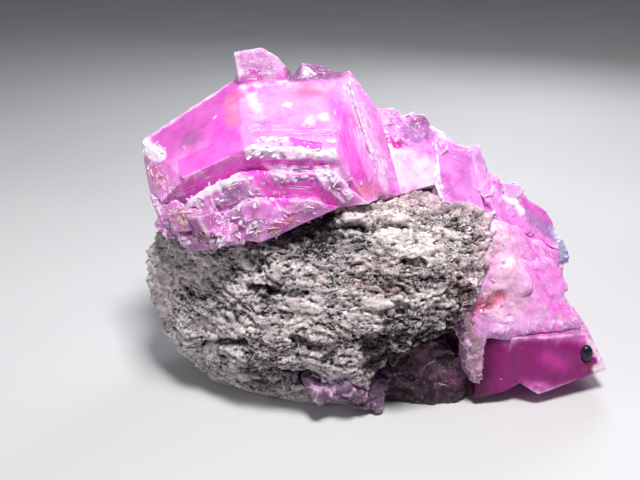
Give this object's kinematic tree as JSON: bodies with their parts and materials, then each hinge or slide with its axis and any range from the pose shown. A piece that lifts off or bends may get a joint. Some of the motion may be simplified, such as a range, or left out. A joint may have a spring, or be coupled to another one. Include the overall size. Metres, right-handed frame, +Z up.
{
  "type": "mineral specimen",
  "caption": "Hand specimen of pink cobaltoan calcite: stepped translucent crystals and a cleavable crust grown over a grey foliated rock, resting on a flat underside.",
  "frame": {"origin": "on the flat that the rock rests on, near its middle, below the specimen's centre", "axes": "+X along the longest side towards the corner crystal, -Y to the front where rock and crystals both show, +Z up"},
  "size_m": [0.0557, 0.0332, 0.0391],
  "materials": {
    "rock": "rough, grey to beige, foliated, with dark specks",
    "pink_calcite": "translucent hot pink cleavage faces with white frosted edges",
    "clear_calcite": "clear to lilac small crystals, glassy, stained brown in places",
    "crust_calcite": "translucent pink and white crystals, glassy edges",
    "pale_calcite": "pale pink massive calcite, satin",
    "deep_pink_calcite": "deep magenta smooth cleavage face, white worn edges",
    "shaded_calcite": "dark purple-brown translucent calcite with lilac-white patches",
    "black_bead": "glossy black"
  },
  "bodies": {
    "root": {"matrix": "rock", "main_crystal": "pink_calcite", "left_crystals": "clear_calcite", "crest_crystals": "crust_calcite", "flank_calcite": "pale_calcite", "corner_crystal": "deep_pink_calcite", "underside_calcite": "shaded_calcite", "dark_bead": "black_bead"}
  },
  "joints": []
}
